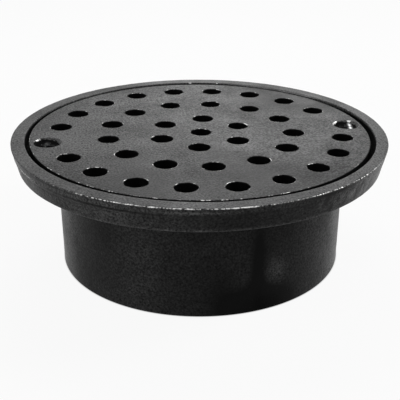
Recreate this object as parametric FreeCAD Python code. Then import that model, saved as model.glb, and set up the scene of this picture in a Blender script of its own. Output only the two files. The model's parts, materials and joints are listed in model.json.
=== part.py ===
import FreeCAD, Part
import math
import os

# Round cast-iron floor drain: a flanged body with a hub outlet, a perforated grate and its two screws.
# The origin is the centre of the hub's lower end, +Z is up and the screws lie on -X and near +X.
# All sizes are in millimetres and degrees.

# Hub, the outlet that a pipe goes into from below
hub_bore_diameter = 123.6
hub_wall_top = 4.9
hub_wall_bottom = 4.5
hub_end_round = 0.4
hub_root_fillet = 2.5

# Heights of the body
overall_height = 59.5
flange_depth = 11.2

# Flange from the throat outwards: pan floor, seat, gap round the grate and rim
throat_round = 3.0
pan_width = 13.05
pan_slope = 8.0
pan_step = 1.2
pan_corner_fillet = 0.8
seat_width = 5.35
grate_gap = 2.05
rim_width = 5.95
rim_inner_round = 0.5
rim_outer_round = 0.35
flange_side_inset = 2.8
flange_base_round = 0.8

# Parting bead that the two halves of the mould leave round the flange's side
bead_drop = 3.4
bead_height = 0.35
bead_width = 1.2
bead_round = 0.25

# Grate and its drain holes
grate_drop = 0.35
grate_thickness = 5.0
grate_edge_round = 0.5
casting_draft = 3.0
drain_hole_diameter = 9.9
inner_ring_radius = 20.0
inner_ring_count = 6
inner_ring_start = 14.9
middle_ring_radius = 43.15
middle_ring_count = 13
middle_ring_start = 15.3
outer_ring_inset = 12.9
outer_ring_places = 20

# Countersunk screws and the lugs that take them; one hole of the casting lies a little off its place
screw_angles = (-3.0, 180.0)
screw_edge_distance = 7.75
screw_diameter = 6.35
screw_length = 15.9
screw_tip_chamfer = 0.8
head_diameter = 10.2
head_angle = 82.0
head_edge = 0.2
countersink_diameter = 12.7
head_clearance = 0.05
grate_hole_clearance = 0.4
thread_clearance = 0.1
cross_recess_span = 6.2
cross_recess_slot = 1.5
cross_recess_depth = 2.4
cross_recess_taper = 26.0
lug_wall = 3.7
lug_drop = 6.6
lug_draft = 4.0
lug_round = 1.2

# Places that follow from the sizes above
centre = FreeCAD.Vector(0, 0, 0)
up = FreeCAD.Vector(0, 0, 1)
hub_bore_radius = hub_bore_diameter / 2
pan_radius = hub_bore_radius + pan_width
draft_slope = math.tan(math.radians(casting_draft))
grate_top = overall_height - grate_drop
seat_height = grate_top - grate_thickness
recess_foot_radius = pan_radius + seat_width
recess_radius = recess_foot_radius + (overall_height - seat_height) * draft_slope
grate_radius = recess_radius - grate_gap
rim_radius = recess_radius + rim_width
flange_base = overall_height - flange_depth
screw_circle_radius = grate_radius - screw_edge_distance
screw_radius = screw_diameter / 2
head_slope = math.tan(math.radians(head_angle / 2))
countersink_depth_to_head = (countersink_diameter - head_diameter) / 2 / head_slope
head_top = grate_top - countersink_depth_to_head + head_edge


def rounded_face(corners):
    """Closed face in the XZ plane from (radius, height, rounding) corners, each rounding a tangent arc."""
    points = [FreeCAD.Vector(radius, 0, height) for radius, height, rounding in corners]
    starts, middles, ends = [], [], []
    for index, (radius, height, rounding) in enumerate(corners):
        corner = points[index]
        back = (points[index - 1] - corner).normalize()
        forward = (points[(index + 1) % len(points)] - corner).normalize()
        half_angle = back.getAngle(forward) / 2
        reach = rounding / math.tan(half_angle)
        inward = (back + forward).normalize()
        starts.append(corner + back * reach)
        ends.append(corner + forward * reach)
        middles.append(corner + inward * (rounding / math.sin(half_angle) - rounding))
    edges = []
    for index, (radius, height, rounding) in enumerate(corners):
        edges.append(Part.LineSegment(ends[index - 1], starts[index]).toShape())
        if rounding > 0:
            edges.append(Part.Arc(starts[index], middles[index], ends[index]).toShape())
    return Part.Face(Part.Wire(edges))


def turned(corners):
    """Solid of revolution about Z from the corners of its section."""
    return rounded_face(corners).revolve(centre, up, 360)


def around(shape, radius, count, start, skip=()):
    """Copies of a shape evenly spaced on a circle about Z, apart from the places to skip."""
    copies = []
    for place in range(count):
        if place in skip:
            continue
        copy = shape.copy()
        copy.translate(FreeCAD.Vector(radius, 0, 0))
        copy.rotate(centre, up, start + place * 360 / count)
        copies.append(copy)
    return copies


def at_screws(shape):
    """Copies of a shape at the screws."""
    return [around(shape, screw_circle_radius, 1, angle)[0] for angle in screw_angles]


def flange_side(drop):
    """Radius of the flange's tapered side at a distance below the rim's top."""
    return rim_radius - flange_side_inset * drop / flange_depth


def body_section():
    """Section of the body's casting from the hub's bore round to the pan floor."""
    throat_height = seat_height - pan_step - pan_width * math.tan(math.radians(pan_slope))
    bead_foot = bead_drop + bead_width
    bead_middle = bead_drop + bead_width / 2
    return [
        (hub_bore_radius, 0, 0),
        (hub_bore_radius + hub_wall_bottom, 0, hub_end_round),
        (hub_bore_radius + hub_wall_top, flange_base, hub_root_fillet),
        (rim_radius - flange_side_inset, flange_base, flange_base_round),
        (flange_side(bead_foot), overall_height - bead_foot, 0),
        (flange_side(bead_middle) + bead_height, overall_height - bead_middle, bead_round),
        (flange_side(bead_drop), overall_height - bead_drop, 0),
        (rim_radius, overall_height, rim_outer_round),
        (recess_radius, overall_height, rim_inner_round),
        (recess_foot_radius, seat_height, 0),
        (pan_radius, seat_height, 0),
        (pan_radius, seat_height - pan_step, pan_corner_fillet),
        (hub_bore_radius, throat_height, throat_round),
    ]


def screw_lug():
    """Lug round a screw, from the seat down through the flange to below its underside, drafted both ways."""
    radius = screw_radius + thread_clearance + lug_wall
    slope = math.tan(math.radians(lug_draft))
    above = seat_height - flange_base
    return turned([
        (0, flange_base - lug_drop, 0),
        (radius - lug_drop * slope, flange_base - lug_drop, lug_round),
        (radius, flange_base, 0),
        (radius - above * slope, seat_height, 0),
        (0, seat_height, 0),
    ])


def drain_body():
    """One casting: hub, flange, rim, seat, pan floor and screw lugs, with tapped holes through the lugs."""
    bore = Part.makeCylinder(hub_bore_radius, overall_height)
    lug_foot = FreeCAD.Vector(0, 0, flange_base - lug_drop)
    tapped_hole = Part.makeCylinder(screw_radius + thread_clearance, overall_height, lug_foot)
    lugs = [lug.cut(bore) for lug in at_screws(screw_lug())]
    return turned(body_section()).fuse(lugs).cut(at_screws(tapped_hole))


def drain_hole():
    """Tapered drain hole, wider below so that what passes the top falls through."""
    top_radius = drain_hole_diameter / 2
    return Part.makeCone(top_radius + grate_thickness * draft_slope, top_radius, grate_thickness,
                         FreeCAD.Vector(0, 0, seat_height))


def countersunk_hole():
    """Clearance hole for a screw with the countersink that its head sits in."""
    hole_radius = screw_radius + grate_hole_clearance
    sink_radius = countersink_diameter / 2
    sink_depth = (sink_radius - hole_radius) / head_slope
    hole = Part.makeCylinder(hole_radius, grate_thickness, FreeCAD.Vector(0, 0, seat_height))
    return hole.fuse(Part.makeCone(hole_radius, sink_radius, sink_depth,
                                   FreeCAD.Vector(0, 0, grate_top - sink_depth)))


def grate():
    """Flat round casting with a centre hole, three rings of drain holes and two countersunk screw holes."""
    plate = turned([
        (0, seat_height, 0),
        (grate_radius - grate_thickness * draft_slope, seat_height, 0),
        (grate_radius, grate_top, grate_edge_round),
        (0, grate_top, 0),
    ])
    screw_places = [round(angle / 360 * outer_ring_places) % outer_ring_places for angle in screw_angles]
    holes = [drain_hole()]
    holes += around(drain_hole(), inner_ring_radius, inner_ring_count, inner_ring_start)
    holes += around(drain_hole(), middle_ring_radius, middle_ring_count, middle_ring_start)
    holes += around(drain_hole(), grate_radius - outer_ring_inset, outer_ring_places, 0, screw_places)
    return plate.cut(holes + at_screws(countersunk_hole()))


def cross_recess():
    """Cross recess of a screw head: two crossed slots that narrow with depth."""
    half_span = cross_recess_span / 2
    foot_radius = half_span - cross_recess_depth * math.tan(math.radians(cross_recess_taper))
    slot = Part.makeBox(cross_recess_span, cross_recess_slot, cross_recess_depth)
    slot.translate(FreeCAD.Vector(-half_span, -cross_recess_slot / 2, head_top - cross_recess_depth))
    crossing = slot.copy()
    crossing.rotate(centre, up, 90)
    taper = Part.makeCone(foot_radius, half_span, cross_recess_depth,
                          FreeCAD.Vector(0, 0, head_top - cross_recess_depth))
    return slot.fuse(crossing).common(taper)


def screw():
    """Countersunk screw with a plain shank and a cross recess."""
    head_radius = head_diameter / 2 - head_clearance
    cone_top = head_top - head_edge
    cone_foot = cone_top - (head_radius - screw_radius) / head_slope
    tip = head_top - screw_length
    return turned([
        (0, tip, 0),
        (screw_radius - screw_tip_chamfer, tip, 0),
        (screw_radius, tip + screw_tip_chamfer, 0),
        (screw_radius, cone_foot, 0),
        (head_radius, cone_top, 0),
        (head_radius, head_top, 0),
        (0, head_top, 0),
    ]).cut(cross_recess())


def grate_screws():
    """The screws, separate solids in one group."""
    return Part.makeCompound(at_screws(screw()))


os.makedirs("parts", exist_ok=True)
drain_body().exportStep("parts/drain_body.step")
grate().exportStep("parts/grate.step")
grate_screws().exportStep("parts/grate_screws.step")
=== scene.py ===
import itertools
import json
import logging
import math
from dataclasses import dataclass
from enum import Enum
from typing import Any, Iterable

import bmesh
import bpy
import numpy as np
from mathutils import Matrix, Vector
from mathutils.geometry import delaunay_2d_cdt


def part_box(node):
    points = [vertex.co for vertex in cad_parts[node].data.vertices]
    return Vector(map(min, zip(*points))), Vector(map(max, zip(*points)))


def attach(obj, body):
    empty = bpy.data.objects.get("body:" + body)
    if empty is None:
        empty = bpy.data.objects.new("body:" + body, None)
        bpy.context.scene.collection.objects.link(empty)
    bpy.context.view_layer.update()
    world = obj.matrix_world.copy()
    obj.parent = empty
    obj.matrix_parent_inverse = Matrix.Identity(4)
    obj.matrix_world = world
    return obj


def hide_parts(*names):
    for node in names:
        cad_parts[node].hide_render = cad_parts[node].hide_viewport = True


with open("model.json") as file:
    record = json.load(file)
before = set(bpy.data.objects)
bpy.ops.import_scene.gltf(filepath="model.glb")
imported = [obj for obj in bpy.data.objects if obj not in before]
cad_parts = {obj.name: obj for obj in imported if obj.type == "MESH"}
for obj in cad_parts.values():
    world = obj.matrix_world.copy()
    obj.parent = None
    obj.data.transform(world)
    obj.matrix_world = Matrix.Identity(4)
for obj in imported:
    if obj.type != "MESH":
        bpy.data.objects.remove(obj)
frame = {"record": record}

METRES = 0.001
TINY = 1e-9
# Heights that differ by less than this are the same.
SAME = 0.01
# Places in a flat face that are closer than this are one place.
MERGE = 1e-5
# Edges where faces turn by more than this are sharp.
CREASE = 28.0
# Points that a joined or cut seam leaves closer together than this become one.
WELD = 0.003
# Angles of the screws about Z, and how far each sits aside of its place in the CAD.
SCREW_TURNS = (-3.0, 180.0)
SCREW_SHIFTS = ((0.3, 0.0), (0.55, 0.0))
# Share of the grate's lean that the screws follow, and the lift that keeps them clear of uneven countersinks.
SCREW_LEAN = 0.75
SCREW_LIFT = 0.2
# What the rounding of the rim's edge takes off the radius of the sharp section.
RIM_ROUNDED_OFF = 0.098
BODY = "root"
Array = np.ndarray
Piece = bpy.types.Object
log = logging.getLogger("floor_drain")


class Slot(Enum):
    """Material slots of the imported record."""

    BODY = "body_iron"
    GRATE = "grate_iron"
    SCREW = "screw_steel"


def linear(colour: str) -> tuple[float, float, float, float]:
    """Turns an sRGB hex colour into linear light.

    Args:
        colour: six hex digits after a hash sign.

    Returns:
        Red, green, blue and alpha for a colour socket.
    """
    srgb = np.array([int(colour[i:i + 2], 16) for i in (1, 3, 5)]) / 255
    light = np.where(srgb <= 0.04045, srgb / 12.92, ((srgb + 0.055) / 1.055) ** 2.4)
    return (*light.tolist(), 1.0)


def empty_tree(owner: bpy.types.ID) -> bpy.types.NodeTree:
    """Turns on the nodes of a material or world and clears them.

    Args:
        owner: the material or world.

    Returns:
        Its node tree.
    """
    owner.use_nodes = True
    owner.node_tree.nodes.clear()
    return owner.node_tree


def add_node(tree: bpy.types.NodeTree, kind: str, inputs: dict[Any, Any] | tuple[Any, ...] = (),
             output: int | str = 0, **settings: Any) -> bpy.types.NodeSocket | None:
    """Adds one shader node to a tree with its settings, its input values and the links to its inputs.

    Args:
        tree: the node tree.
        kind: the node's type name after ShaderNode.
        inputs: fixed values or the outputs that feed the inputs, in the node's order or by name or number.
        output: name or number of the output that is wanted.
        settings: properties of the node itself.

    Returns:
        The wanted output, or None for a node without outputs.
    """
    node = tree.nodes.new("ShaderNode" + kind)
    for name, value in settings.items():
        setattr(node, name, value)
    for name, value in inputs.items() if isinstance(inputs, dict) else enumerate(inputs):
        if isinstance(value, bpy.types.NodeSocket):
            tree.links.new(value, node.inputs[name])
        else:
            node.inputs[name].default_value = value
    return node.outputs[output] if node.outputs else None


@dataclass(frozen=True)
class LatticeNoise:
    """Smooth random field: values drawn on the corners of a cubic lattice and blended between them."""

    cell: float
    seed: int
    swing: float = 1.0
    side: int = 32

    def at(self, points: Array) -> Array:
        """Samples the field.

        Args:
            points: array of places, the last axis x, y and z in millimetres.

        Returns:
            One value between the swing and its negative for each place.
        """
        lattice = np.random.default_rng(self.seed).uniform(-1, 1, (self.side,) * 3)
        cells = points / self.cell
        low = np.floor(cells).astype(int)
        share = cells - low
        share = share * share * (3 - 2 * share)
        total = np.zeros(points.shape[:-1])
        for corner in itertools.product((0, 1), repeat=3):
            weight = np.prod(np.where(corner, share, 1 - share), axis=-1)
            total += weight * lattice[tuple(np.moveaxis((low + corner) % self.side, -1, 0))]
        return self.swing * total


@dataclass(frozen=True)
class Mark:
    """Soft mark of a stain, rub, bulge, painted light or painted shade: its place in two coordinates, its
    reach along both and what it adds.
    """

    across: float
    along: float
    half_width: float
    half_height: float
    adds: float


def added(marks: Iterable[Mark], across: Array, along: Array | float) -> Array:
    """Sum of what marks add: each its strength times exp(-d * d), d the distance in its half-widths.

    Args:
        marks: the marks.
        across: first coordinate of each point, a length or an angle.
        along: second coordinate.

    Returns:
        The sum at each point.
    """
    total = 0.0
    for mark in marks:
        distance = np.hypot((across - mark.across) / mark.half_width, (along - mark.along) / mark.half_height)
        total = total + mark.adds * np.exp(-distance ** 2)
    return total


def fading(distance: Array, start: float, reach: float) -> Array:
    """What is left at a distance: start less the distance in reaches, kept from 0 to 1."""
    return np.clip(start - distance / reach, 0, 1)


def bearing(angle: Array) -> Array:
    """Angles in degrees from -270 up to 90, so that the turn from end to start lies at the back."""
    return (np.degrees(angle) + 270) % 360 - 270


def full_turn(segments: int) -> Array:
    """Evenly spaced angles of one turn, in radians."""
    return np.linspace(0, 2 * math.pi, segments, endpoint=False)


@dataclass(frozen=True)
class Corner:
    """Corner of a section: radius, height, the rounding there and the spacing of points up to it."""

    radius: float
    height: float
    rounding: float = 0.0
    spacing: float = 2.0


def rounded_section(corners: list[Corner], arc_points: int = 7) -> Array:
    """Samples a closed section whose straight runs are joined by tangent arcs.

    A rounding of radius q in a corner of angle a starts q / tan(a / 2) from the corner on both runs.

    Args:
        corners: the section's corners in order, counterclockwise with radius to the right and height up.
        arc_points: number of points on each arc, both ends included.

    Returns:
        Array of points, radius and height, without repeating the first.
    """
    points = np.array([[c.radius, c.height] for c in corners])
    back = np.roll(points, 1, axis=0) - points
    ahead = np.roll(points, -1, axis=0) - points
    back /= np.linalg.norm(back, axis=1, keepdims=True)
    ahead /= np.linalg.norm(ahead, axis=1, keepdims=True)
    half = np.arccos(np.clip((back * ahead).sum(axis=1), -1, 1)) / 2
    rounding = np.array([c.rounding for c in corners])
    reach = (rounding / np.tan(half))[:, None]
    starts, ends = points + back * reach, points + ahead * reach
    middle = back + ahead
    middle /= np.maximum(np.linalg.norm(middle, axis=1, keepdims=True), TINY)
    centres = points + middle * (rounding / np.sin(half))[:, None]
    runs = []
    for index, corner in enumerate(corners):
        length = np.linalg.norm(starts[index] - ends[index - 1])
        steps = max(1, round(length / corner.spacing))
        share = np.linspace(0, 1, steps + 1)[1:, None]
        runs.append(ends[index - 1] * (1 - share) + starts[index] * share)
        if corner.rounding > 0:
            first, last = starts[index] - centres[index], ends[index] - centres[index]
            sweep = math.pi - 2 * half[index]
            turn = np.linspace(0, 1, arc_points)[1:, None]
            arc = (np.sin((1 - turn) * sweep) * first + np.sin(turn * sweep) * last) / math.sin(sweep)
            runs.append(centres[index] + arc)
    return np.concatenate(runs)


def turned(section: Array, segments: int) -> Array:
    """Turns a section about Z: a point at radius r goes to (r cos t, r sin t) at each angle t.

    Args:
        section: points of the section, radius and height.
        segments: number of angles.

    Returns:
        Array of points by section point, angle and axis.
    """
    angle = full_turn(segments)
    radius, height = section[:, :1], section[:, 1:]
    return np.stack(np.broadcast_arrays(radius * np.cos(angle), radius * np.sin(angle), height), axis=-1)


def section_normals(section: Array) -> Array:
    """Outward normals of a closed counterclockwise section: the chord past each point, turned right.

    Args:
        section: points of the section, radius and height.

    Returns:
        Unit normals, radius and height.
    """
    chord = np.roll(section, -1, axis=0) - np.roll(section, 1, axis=0)
    normal = np.stack([chord[:, 1], -chord[:, 0]], axis=1)
    return normal / np.maximum(np.linalg.norm(normal, axis=1, keepdims=True), TINY)


def grid_faces(rows: int, columns: int, close_rows: bool, first: int = 0) -> Array:
    """Quads of a grid whose columns close on themselves, with the outside on the right of the rows' travel.

    Args:
        rows: number of points along the section.
        columns: number of angles.
        close_rows: whether the last row joins the first.
        first: index of the grid's first point in the mesh.

    Returns:
        Array of four indices for each face.
    """
    row = np.arange(rows if close_rows else rows - 1)[:, None] * columns
    column = np.arange(columns)[None, :]
    after, beside = (row + columns) % (rows * columns), (column + 1) % columns
    corners = (row + column, row + beside, after + beside, after + column)
    return np.stack(np.broadcast_arrays(*corners), axis=-1).reshape(-1, 4) + first


def pole_faces(ring: Array, pole: int) -> Array:
    """Triangles from a ring of points to a pole, with the pole on the left of the ring's travel."""
    return np.stack([ring, np.roll(ring, -1), np.full_like(ring, pole)], axis=1)


def solid_faces(rows: int, columns: int, first: int) -> list[Array]:
    """Faces of a turned solid whose points are a grid from the foot up, then the lower and the upper pole.

    Args:
        rows: number of points along the section.
        columns: number of angles.
        first: index of the solid's first point in the mesh.

    Returns:
        Faces of the side, of the foot and of the top.
    """
    ring = first + np.arange(columns)
    pole = first + rows * columns
    return [grid_faces(rows, columns, False, first), pole_faces(ring[::-1], pole),
            pole_faces(ring + (rows - 1) * columns, pole + 1)]


def mesh_piece(name: str, points: Array, faces: Iterable[Array]) -> Piece:
    """Makes a smooth mesh object.

    Args:
        name: the piece's name.
        points: places in millimetres, the last axis x, y and z.
        faces: index arrays of triangles or quads.

    Returns:
        The object, at the origin and linked to the scene.
    """
    mesh = bpy.data.meshes.new(name)
    polygons = [polygon for block in faces for polygon in block.tolist()]
    mesh.from_pydata((points.reshape(-1, 3) * METRES).tolist(), [], polygons)
    mesh.validate()
    piece = bpy.data.objects.new(name, mesh)
    bpy.context.scene.collection.objects.link(piece)
    shade_smooth(piece)
    return piece


def shade_smooth(piece: Piece) -> None:
    """Shades a piece smooth apart from the edges where its faces turn by more than the crease angle."""
    piece.data.polygons.foreach_set("use_smooth", np.ones(len(piece.data.polygons), bool))
    piece.data.set_sharp_from_angle(angle=math.radians(CREASE))


def mesh_points(piece: Piece) -> Array:
    """Places of a piece's points in millimetres, in the mesh's own order.

    Args:
        piece: the piece.

    Returns:
        Array of points by axis.
    """
    places = np.empty(len(piece.data.vertices) * 3)
    piece.data.vertices.foreach_get("co", places)
    return places.reshape(-1, 3) / METRES


def set_attribute(piece: Piece, name: str, values: Array) -> None:
    """Stores one number for each point of a piece's mesh, in the mesh's own order."""
    layer = piece.data.attributes.new(name, "FLOAT", "POINT")
    layer.data.foreach_set("value", np.ascontiguousarray(values, np.float32).ravel())


def combined(piece: Piece, tool: Piece, operation: str) -> None:
    """Joins a tool to a piece or cuts it out of the piece, welds the seam between them and removes the tool.

    Args:
        piece: the piece, whose mesh is replaced by the result.
        tool: the closed mesh to add or cut away.
        operation: UNION or DIFFERENCE.
    """
    change = piece.modifiers.new("change", "BOOLEAN")
    change.operation, change.object, change.solver = operation, tool, "EXACT"
    graph = bpy.context.evaluated_depsgraph_get()
    made = bpy.data.meshes.new_from_object(piece.evaluated_get(graph), preserve_all_data_layers=True,
                                           depsgraph=graph)
    piece.modifiers.clear()
    seam = bmesh.new()
    seam.from_mesh(made)
    bmesh.ops.remove_doubles(seam, verts=seam.verts, dist=WELD * METRES)
    bmesh.ops.dissolve_degenerate(seam, edges=seam.edges, dist=WELD * METRES)
    seam.to_mesh(made)
    seam.free()
    piece.data = made
    bpy.data.objects.remove(tool)


def adopt(piece: Piece, node: str, finish: bpy.types.Material) -> None:
    """Lets a piece stand for a CAD node, ride on the drain and wear a finish.

    Args:
        piece: the piece.
        node: the CAD node that it stands for.
        finish: the material.
    """
    piece.data.materials.clear()
    piece.data.materials.append(finish)
    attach(piece, BODY)
    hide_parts(node)
    log.info("%s stands for %s: %d points, %d faces", piece.name, node, len(piece.data.vertices),
             len(piece.data.polygons))


@dataclass(frozen=True)
class DippedIron:
    """Grey iron, sand-cast and dipped in thin black asphalt paint.

    The paint is nearly black seen square on and turns grey where it is seen at a low angle. The sand leaves a
    fine grain and small pits under it, dust greys the faces that are handled, and sharp edges are rubbed down
    to bright iron. The same grey is also laid on through the tone as painted light, such as painted sheen at
    the drain's sides as seen and painted highlights about the bead, and taken off as painted shade in
    recesses and under the flange. Some bright iron also stands for highlights and glare: painted highlight.
    Paint that is left rough inside is the dullest. The grain is drawn coarser than casting sand is, so that
    it shows.
    """

    name: str
    paint: str = "#050505"
    # Grey of dusty paint; through the tone it is also painted light, and where the tone falls, painted shade.
    dust_and_painted_light_grey: str = "#5c5c5c"
    # Bright iron of rubbed edges, also the colour of painted highlights and glare.
    bare_iron_and_glint: str = "#d2d2d1"
    roughness: float = 0.42
    roughness_swing: float = 0.08
    inside_roughness: float = 0.5
    specular_level: float = 0.05
    grit: float = 1.2
    grain: float = 0.9
    grain_height: float = 0.07
    pit_spacing: float = 3.4
    pit_depth: float = 0.10
    pit_edge: tuple[float, float] = (0.04, 0.20)
    cloud: float = 18.0
    cloud_dust: tuple[float, float] = (0.44, 0.74)
    wear_speck: float = 0.9
    wear_edge: tuple[float, float] = (0.32, 0.64)
    noise_range: tuple[float, float] = (0.3, 0.7)

    def material(self) -> bpy.types.Material:
        """Builds the material. A range node takes its value, then the range it has and the range it gets.

        Returns:
            The material, which reads Object coordinates and the attributes wear and tone.
        """
        made = bpy.data.materials.new(self.name)
        tree = empty_tree(made)
        place = add_node(tree, "TexCoord", output="Object")
        place = add_node(tree, "VectorMath", {0: place, "Scale": 1 / METRES}, operation="SCALE")
        noises = ((self.grain, 3.0, 0.7), (self.cloud, 5.0, 0.62), (self.wear_speck, 2.0, 0.5))
        grain, cloud, specks = (
            add_node(tree, "TexNoise",
                     {"Vector": place, "Scale": 1 / size, "Detail": detail, "Roughness": share})
            for size, detail, share in noises)
        pits = add_node(tree, "TexVoronoi", {"Vector": place, "Scale": 1 / self.pit_spacing})
        pit = add_node(tree, "MapRange", (pits, *self.pit_edge, 1.0, 0.0), interpolation_type="SMOOTHSTEP")
        wear, tone = (add_node(tree, "Attribute", output="Fac", attribute_name=name)
                      for name in ("wear", "tone"))
        # Bright iron where wear meets specks, including the painted glare and highlights that the wear
        # attribute carries.
        worn_and_glint = add_node(tree, "Math", (wear, specks), operation="MULTIPLY")
        bare_and_glint = add_node(tree, "MapRange", (worn_and_glint, *self.wear_edge), interpolation_type="SMOOTHSTEP")
        patchy = add_node(tree, "MapRange", (cloud, *self.noise_range, *self.cloud_dust))
        gritty = add_node(tree, "MapRange", (grain, *self.noise_range, 1 - self.grit, 1 + self.grit))
        uneven = add_node(tree, "Math", (patchy, gritty), operation="MULTIPLY")
        # Mix towards grey: dust and patchiness, and the painted light and painted shade that the tone
        # carries.
        dust_and_painted_light = add_node(tree, "Math", (tone, uneven), operation="MULTIPLY", use_clamp=True)
        paint = add_node(tree, "Mix", {0: dust_and_painted_light, 6: linear(self.paint), 7: linear(self.dust_and_painted_light_grey)}, 2,
                         data_type="RGBA")
        colour = add_node(tree, "Mix", {0: bare_and_glint, 6: paint, 7: linear(self.bare_iron_and_glint)}, 2, data_type="RGBA")
        dull = add_node(tree, "MapRange", (cloud, *self.noise_range, self.roughness + self.roughness_swing,
                                           self.roughness - self.roughness_swing))
        inside = add_node(tree, "MapRange", (tone, -1.0, 0.0, self.inside_roughness, 0.0))
        rough = add_node(tree, "Math", (dull, inside), operation="ADD")
        height = add_node(tree, "Math", (pit, -self.pit_depth / self.grain_height, grain),
                          operation="MULTIPLY_ADD")
        bump = add_node(tree, "Bump", {"Height": height, "Distance": self.grain_height * METRES})
        shader = add_node(tree, "BsdfPrincipled", {"Base Color": colour, "Metallic": bare_and_glint, "Roughness": rough,
                                                   "Normal": bump, "Specular IOR Level": self.specular_level})
        add_node(tree, "OutputMaterial", {"Surface": shader})
        return made


@dataclass(frozen=True)
class BlackenedSteel:
    """Cold-headed steel screw, blackened and oiled.

    The oxide is a dull near-black, and the driver has rubbed the corners of the recess back to bright steel.
    Bright steel also lies in a streak across each head that stands in for a lamp's glare: a painted
    reflection.
    """

    name: str
    oxide: str = "#080808"
    # Bright steel of the rubbed recess, also the colour of the painted glare streaks.
    bare_steel_and_glint: str = "#d2d3d4"
    roughness: float = 0.62
    roughness_swing: float = 0.15
    bare_roughness: float = 0.3
    specular_level: float = 0.002
    scratch: float = 0.6

    def material(self) -> bpy.types.Material:
        """Builds the material.

        Returns:
            The material, which reads Object coordinates and the attribute wear.
        """
        made = bpy.data.materials.new(self.name)
        tree = empty_tree(made)
        place = add_node(tree, "TexCoord", output="Object")
        scratch = add_node(tree, "TexNoise",
                           {"Vector": place, "Scale": 1 / (self.scratch * METRES), "Detail": 2.0})
        wear = add_node(tree, "Attribute", output="Fac", attribute_name="wear")
        dull = add_node(tree, "MapRange", (scratch, 0.0, 1.0, self.roughness + self.roughness_swing,
                                           self.roughness - self.roughness_swing))
        rough = add_node(tree, "Mix", {0: wear, 2: dull, 3: self.bare_roughness})
        colour = add_node(tree, "Mix", {0: wear, 6: linear(self.oxide), 7: linear(self.bare_steel_and_glint)}, 2,
                          data_type="RGBA")
        shader = add_node(tree, "BsdfPrincipled", {"Base Color": colour, "Metallic": wear, "Roughness": rough,
                                                   "Specular IOR Level": self.specular_level})
        add_node(tree, "OutputMaterial", {"Surface": shader})
        return made


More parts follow.
